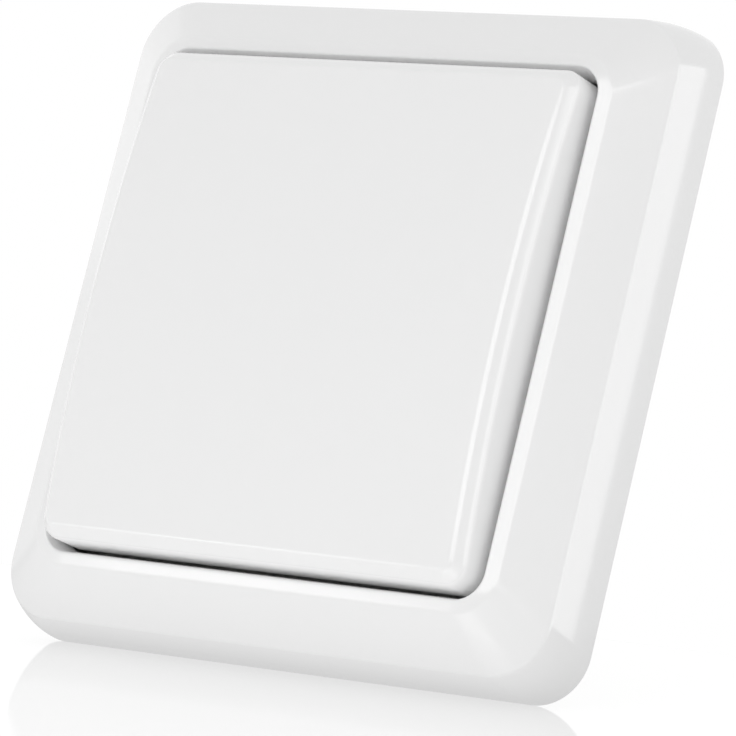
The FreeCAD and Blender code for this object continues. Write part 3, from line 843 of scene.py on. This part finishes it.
def make_round_mark():
    """Disc round one place, flat to the wall, with a soft edge"""
    tree, given, result = new_group(
        "round_mark", {"Spot": "Vector", "Middle": "Vector", "Radius": "Float"}, {"Mask": "Float"}
    )
    away = vector_maths(tree, "SUBTRACT", given["Spot"], given["Middle"])
    length = vector_maths(tree, "LENGTH", vector_maths(tree, "MULTIPLY", away, (1, 0, 1)))
    inner = maths(tree, "MULTIPLY", given["Radius"], 0.94)
    tree.links.new(ranged(tree, length, inner, given["Radius"], 1.0, 0.0), result["Mask"])
    return tree


def make_square_reach():
    """Distance from the inner square that a round-cornered square is built round"""
    tree, given, result = new_group("square_reach", {"Flat": "Float"}, {"Reach": "Float"})
    core = tree.nodes.new("ShaderNodeCombineXYZ")
    tree.links.new(given["Flat"], core.inputs["X"])
    tree.links.new(given["Flat"], core.inputs["Z"])
    folded = vector_maths(tree, "ABSOLUTE", place(tree))
    beyond = vector_maths(tree, "SUBTRACT", folded, core.outputs["Vector"])
    level = vector_maths(tree, "MULTIPLY", vector_maths(tree, "MAXIMUM", beyond), (1, 0, 1))
    tree.links.new(vector_maths(tree, "LENGTH", level), result["Reach"])
    return tree


MOULDED_SKIN = make_moulded_skin()
METAL_FINISH = make_metal_finish()
ROUND_MARK = make_round_mark()
SQUARE_REACH = make_square_reach()


def new_material(name):
    material = bpy.data.materials.new(name + "_finish")
    material.use_nodes = True
    return material, material.node_tree, material.node_tree.nodes["Principled BSDF"]


def use_group(tree, group, **values):
    node = tree.nodes.new("ShaderNodeGroup")
    node.node_tree = group
    for name, value in values.items():
        set_input(tree, node.inputs[name], value)
    return node.outputs


def raise_surface(tree, shader, height, depth):
    """Bump with its depth in metres"""
    bump = tree.nodes.new("ShaderNodeBump")
    bump.inputs["Strength"].default_value = 1.0
    bump.inputs["Distance"].default_value = depth
    tree.links.new(height, bump.inputs["Height"])
    tree.links.new(bump.outputs["Normal"], shader.inputs["Normal"])


def plastic(slot, roughness, spread, mottle, grain):
    """Moulded plastic whose surface is still to be raised"""
    material, tree, shader = new_material(slot)
    skin = use_group(
        tree, MOULDED_SKIN, Colour=COLOURS[slot], Mottle=mottle, Grain=grain,
        Roughness=roughness, Spread=spread
    )
    tree.links.new(skin["Colour"], shader.inputs["Base Color"])
    tree.links.new(skin["Roughness"], shader.inputs["Roughness"])
    shader.inputs["IOR"].default_value = PLASTIC_IOR
    return material, tree, shader, skin


def plain_plastic(slot, roughness, spread, mottle, grain, depth):
    material, tree, shader, skin = plastic(slot, roughness, spread, mottle, grain)
    raise_surface(tree, shader, skin["Height"], depth)
    return material


def marked_plastic(slot, roughness, grain, depth, middle, radius):
    """Satin plastic with the four ejector marks that moulding leaves"""
    material, tree, shader, skin = plastic(slot, roughness, 0.08, 0.08, grain)
    corner = vector_maths(tree, "ABSOLUTE", place(tree))
    mark = use_group(tree, ROUND_MARK, Spot=corner, Middle=middle, Radius=radius)["Mask"]
    roughness_here = maths(tree, "SUBTRACT", skin["Roughness"], maths(tree, "MULTIPLY", mark, 0.14))
    tree.links.new(roughness_here, shader.inputs["Roughness"])
    height = maths(tree, "SUBTRACT", skin["Height"], maths(tree, "MULTIPLY", mark, 3.0))
    raise_surface(tree, shader, height, depth)
    return material


def polished_plastic(slot, half, corner, inwards):
    """Glossy white that is left dull on the walls of the gap, inside or outside one round-cornered square"""
    material, tree, shader, skin = plastic(slot, 0.13, 0.03, 0.06, 900.0)
    reach = use_group(tree, SQUARE_REACH, Flat=half - corner)["Reach"]
    start, full = corner + inwards * DULL_START, corner + inwards * DULL_FULL
    dull = ranged(tree, reach, start, full, 0.0, DULLNESS)
    tree.links.new(maths(tree, "ADD", skin["Roughness"], dull), shader.inputs["Roughness"])
    raise_surface(tree, shader, skin["Height"], 0.0006 * MM)
    return material


def metal(slot, roughness, spread, tarnish, lines, depth):
    material, tree, shader = new_material(slot)
    finish = use_group(
        tree, METAL_FINISH, Colour=COLOURS[slot], Tarnish=tarnish, Lines=lines,
        Roughness=roughness, Spread=spread
    )
    tree.links.new(finish["Colour"], shader.inputs["Base Color"])
    tree.links.new(finish["Roughness"], shader.inputs["Roughness"])
    shader.inputs["Metallic"].default_value = 1.0
    raise_surface(tree, shader, finish["Height"], depth)
    return material


def solder_mask():
    """Green lacquer over copper tracks, which show as paler raised lines"""
    slot = "board_green"
    material, tree, shader, skin = plastic(slot, 0.3, 0.1, 0.25, 1800.0)
    laid = tree.nodes.new("ShaderNodeMapping")
    laid.inputs["Rotation"].default_value = (math.pi / 2, 0, 0)
    tree.links.new(place(tree), laid.inputs["Vector"])
    tracks = tree.nodes.new("ShaderNodeTexBrick")
    tracks.offset = 0.37
    tracks.squash = 1.6
    tracks.squash_frequency = 3
    tracks.inputs["Scale"].default_value = 150.0
    tracks.inputs["Mortar Size"].default_value = 0.035
    tracks.inputs["Mortar Smooth"].default_value = 0.2
    tree.links.new(laid.outputs["Vector"], tracks.inputs["Vector"])
    paler = mixed(tree, tracks.outputs["Fac"], skin["Colour"], (0.14, 0.40, 0.18, 1))
    tree.links.new(paler, shader.inputs["Base Color"])
    height = maths(tree, "ADD", skin["Height"], maths(tree, "MULTIPLY", tracks.outputs["Fac"], 4.0))
    raise_surface(tree, shader, height, 0.01 * MM)
    return material


def capped_part(slot, middle):
    """Small ceramic part with tinned ends above and below its middle"""
    material, tree, shader, skin = plastic(slot, 0.42, 0.1, 0.3, 2600.0)
    apart = tree.nodes.new("ShaderNodeSeparateXYZ")
    tree.links.new(place(tree), apart.inputs["Vector"])
    away = maths(tree, "ABSOLUTE", maths(tree, "SUBTRACT", apart.outputs["Z"], middle))
    tinned = ranged(tree, away, *TINNED_FROM)
    tree.links.new(mixed(tree, tinned, skin["Colour"], TIN), shader.inputs["Base Color"])
    tree.links.new(tinned, shader.inputs["Metallic"])
    raise_surface(tree, shader, skin["Height"], 0.004 * MM)
    return material


def chip_moulding():
    """Dark moulding compound with the dimple at the first leg"""
    slot = "chip_black"
    material, tree, shader, skin = plastic(slot, 0.5, 0.12, 0.4, 3800.0)
    dimple = use_group(
        tree, ROUND_MARK, Spot=place(tree), Middle=CHIP_DIMPLE, Radius=CHIP_DIMPLE_RADIUS
    )["Mask"]
    roughness_here = maths(tree, "SUBTRACT", skin["Roughness"], maths(tree, "MULTIPLY", dimple, 0.25))
    tree.links.new(roughness_here, shader.inputs["Roughness"])
    height = maths(tree, "SUBTRACT", skin["Height"], maths(tree, "MULTIPLY", dimple, 8.0))
    raise_surface(tree, shader, height, 0.006 * MM)
    return material


def make_materials():
    """One finish for each of the record's slots"""
    return {
        **{slot: plain_plastic(slot, *numbers) for slot, numbers in PLASTICS.items()},
        **{slot: metal(slot, *numbers) for slot, numbers in METALS.items()},
        "frame_white": polished_plastic("frame_white", OPENING_HALF, OPENING_CORNER, 1),
        "rocker_white": polished_plastic("rocker_white", ROCKER_HALF, ROCKER_CORNER, -1),
        "plate_white": marked_plastic("plate_white", 0.42, 3200.0, 0.006 * MM, PLATE_MARK, PLATE_MARK_RADIUS),
        "module_white": marked_plastic("module_white", 0.38, 3600.0, 0.005 * MM, LID_MARK, LID_MARK_RADIUS),
        "board_green": solder_mask(),
        "chip_black": chip_moulding(),
        "resistor_black": capped_part("resistor_black", RESISTOR_ROW),
        "capacitor_tan": capped_part("capacitor_tan", CAPACITOR_ROW),
    }


def dress(piece, material):
    piece.data.materials.clear()
    piece.data.materials.append(material)


# Stage, light and camera

def view_axes():
    turn, lift, roll = (math.radians(angle) for angle in (CAMERA_TURN, CAMERA_LIFT, CAMERA_ROLL))
    back = Vector((math.sin(turn) * math.cos(lift), -math.cos(turn) * math.cos(lift), math.sin(lift)))
    level = Vector((math.cos(turn), math.sin(turn), 0))
    above = back.cross(level)
    right = level * math.cos(roll) + above * math.sin(roll)
    up = above * math.cos(roll) - level * math.sin(roll)
    return right, up, back


def make_camera():
    right, up, back = view_axes()
    bpy.ops.object.camera_add()
    camera = bpy.context.object
    turned = Matrix((right, up, back)).transposed().to_4x4()
    camera.matrix_world = Matrix.Translation(back * CAMERA_DISTANCE) @ turned
    camera.data.lens = CAMERA_LENS
    camera.data.sensor_width = CAMERA_SENSOR
    camera.data.shift_x, camera.data.shift_y = CAMERA_SHIFT
    camera.data.clip_start = CAMERA_NEAR
    bpy.context.scene.camera = camera


def glossy(tree, roughness):
    node = tree.nodes.new("ShaderNodeBsdfGlossy")
    node.inputs["Color"].default_value = WHITE
    node.inputs["Roughness"].default_value = roughness
    return node.outputs["BSDF"]


def glowing(tree, strength):
    node = tree.nodes.new("ShaderNodeEmission")
    set_input(tree, node.inputs["Strength"], strength)
    return node.outputs["Emission"]


def either(tree, share, first, second):
    """Mix of two shaders, with the share of the second"""
    node = tree.nodes.new("ShaderNodeMixShader")
    tree.links.new(share, node.inputs["Fac"])
    tree.links.new(first, node.inputs[1])
    tree.links.new(second, node.inputs[2])
    return node.outputs["Shader"]


def floor_in_view(tree, ahead):
    """White sheet that takes the object's shadow and mirrors it, most of all near the rim"""
    matt = tree.nodes.new("ShaderNodeBsdfDiffuse")
    matt.inputs["Color"].default_value = FLOOR_MATT
    lit = tree.nodes.new("ShaderNodeAddShader")
    tree.links.new(matt.outputs["BSDF"], lit.inputs[0])
    tree.links.new(glowing(tree, FLOOR_GLOW), lit.inputs[1])
    share = ranged(tree, ahead, *MIRROR_REACH, *MIRROR_SHARE)
    return either(tree, share, lit.outputs["Shader"], glossy(tree, MIRROR_ROUGHNESS))


def painted_floor_bounce(tree, ahead):
    """Light that the floor throws back on the object: a glow painted in for bounced light, dimmed close to
    the rim as painted shade, with some glossy shine further out
    """
    # Painted bounce light and painted shade: the glow falls from 0.95 far out to 0.70 at the rim, in place of
    # the floor's shadow as the object sees it
    painted_bounce = glowing(tree, ranged(tree, ahead, *PAINTED_BOUNCE_REACH, *PAINTED_BOUNCE_GLOW))
    share = ranged(tree, ahead, *SHEEN_REACH, *SHEEN_SHARE)
    return either(tree, share, painted_bounce, glossy(tree, SHEEN_ROUGHNESS))


def floor_finish():
    """One look for the camera's rays, and another for the light on the object"""
    material, tree, shader = new_material("floor")
    tree.nodes.remove(shader)
    apart = tree.nodes.new("ShaderNodeSeparateXYZ")
    tree.links.new(place(tree), apart.inputs["Vector"])
    ahead = apart.outputs["Y"]
    seen = tree.nodes.new("ShaderNodeLightPath").outputs["Is Camera Ray"]
    surface = either(tree, seen, painted_floor_bounce(tree, ahead), floor_in_view(tree, ahead))
    tree.links.new(surface, tree.nodes["Material Output"].inputs["Surface"])
    return material


def make_floor():
    """Glossy sheet under the lower rim, falling away towards the camera"""
    deselect()
    bpy.ops.mesh.primitive_plane_add(size=FLOOR_SIZE, location=(0, FLOOR_BEHIND - FLOOR_SIZE / 2, 0))
    floor = bpy.context.object
    floor.name = "floor"
    apply_all(floor)
    dress(floor, floor_finish())
    floor.rotation_euler.x = math.radians(FLOOR_SLOPE)
    floor.location.z = -FRAME_HALF + FLOOR_RISE


def softbox(name, turn, lift, width, height, glow):
    """Lamp for highlights alone, at a turn to the right and a lift, with its width and height, in degrees"""
    side, rise = math.radians(turn), math.radians(lift)
    towards = Vector((math.sin(side) * math.cos(rise), -math.cos(side) * math.cos(rise), math.sin(rise)))
    bpy.ops.object.light_add(type="AREA", location=towards * LAMP_DISTANCE)
    lamp = bpy.context.object
    lamp.name = name
    lamp.rotation_euler = towards.to_track_quat("Z", "Y").to_euler()
    lamp.data.shape = "RECTANGLE"
    lamp.data.size = 2 * LAMP_DISTANCE * math.tan(math.radians(width) / 2)
    lamp.data.size_y = 2 * LAMP_DISTANCE * math.tan(math.radians(height) / 2)
    lamp.data.energy = glow * math.pi * lamp.data.size * lamp.data.size_y
    lamp.visible_camera = False
    lamp.visible_diffuse = False


def make_light():
    for name, numbers in LAMPS.items():
        softbox(name, *numbers)
    world = bpy.data.worlds.new("studio")
    bpy.context.scene.world = world
    world.use_nodes = True
    tree = world.node_tree
    path = tree.nodes.new("ShaderNodeLightPath")
    seen = maths(tree, "MAXIMUM", path.outputs["Is Camera Ray"], path.outputs["Is Glossy Ray"])
    clear = maths(tree, "MAXIMUM", seen, path.outputs["Is Transmission Ray"])
    shade = tree.nodes["Background"]
    shade.inputs["Color"].default_value = WHITE
    tree.links.new(ranged(tree, clear, 0.0, 1.0, ROOM_LIGHT, 1.0), shade.inputs["Strength"])


MATERIALS = make_materials()
dress(make_frame(), MATERIALS["frame_white"])
dress(make_rocker(), MATERIALS["rocker_white"])
dress(make_antenna(), MATERIALS["antenna_copper"])
for piece in [
    *make_wall_plate(),
    *make_module_housing(),
    *make_metal_pieces(),
    *make_board_pieces(),
    *make_switches(),
]:
    dress(piece, MATERIALS[piece["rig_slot"]])
make_floor()
make_light()
make_camera()
bpy.context.scene.view_settings.view_transform = "Standard"
